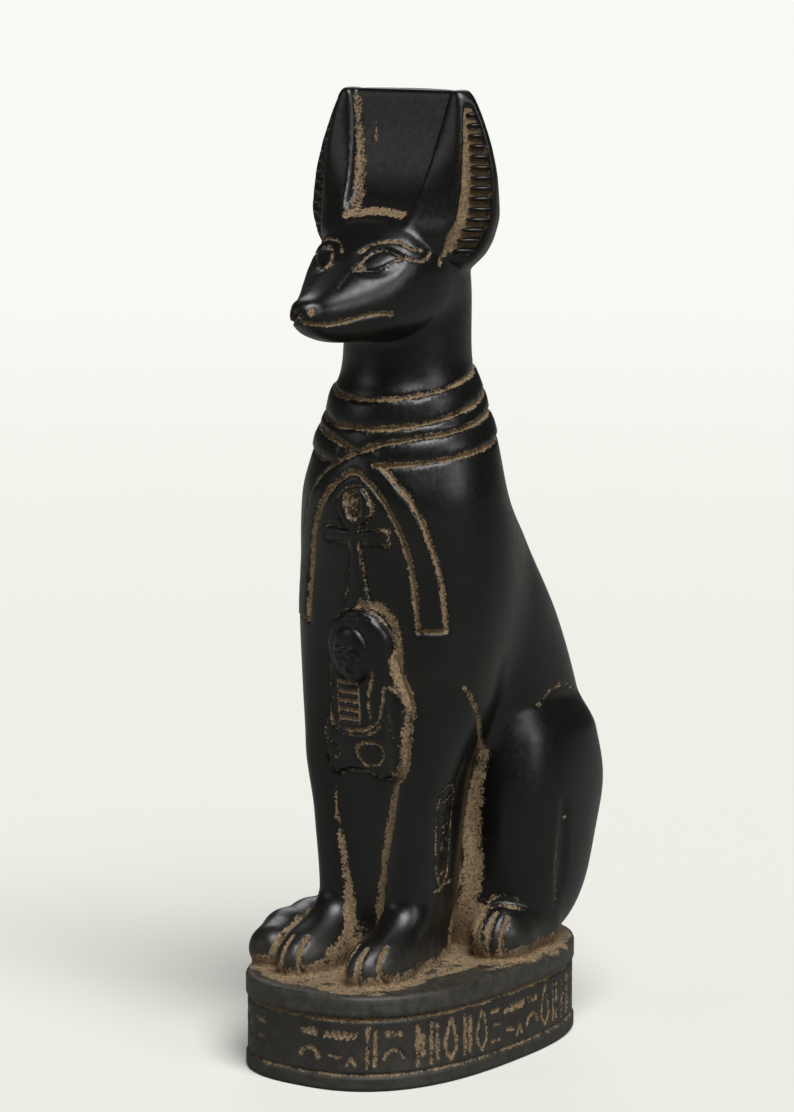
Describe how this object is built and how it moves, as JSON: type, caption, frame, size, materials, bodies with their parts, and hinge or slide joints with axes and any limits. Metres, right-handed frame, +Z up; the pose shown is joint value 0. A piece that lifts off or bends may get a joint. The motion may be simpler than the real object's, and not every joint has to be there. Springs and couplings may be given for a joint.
{
  "type": "seated jackal statue",
  "caption": "Tall seated jackal on an oval plinth, in dark polished cast stone with tan patina in its carving, a flat crest between upright ears, chest relief and a banded base.",
  "frame": {"origin": "centre of the plinth's flat underside", "axes": "+Z up, the statue faces -Y, its own left side is +X"},
  "size_m": [0.0786, 0.1299, 0.3],
  "materials": {
    "dark_stone": "polished near-black cast stone with tan clay patina in the recesses"
  },
  "bodies": {
    "root": {"anubis_statue": "dark_stone"}
  },
  "joints": []
}
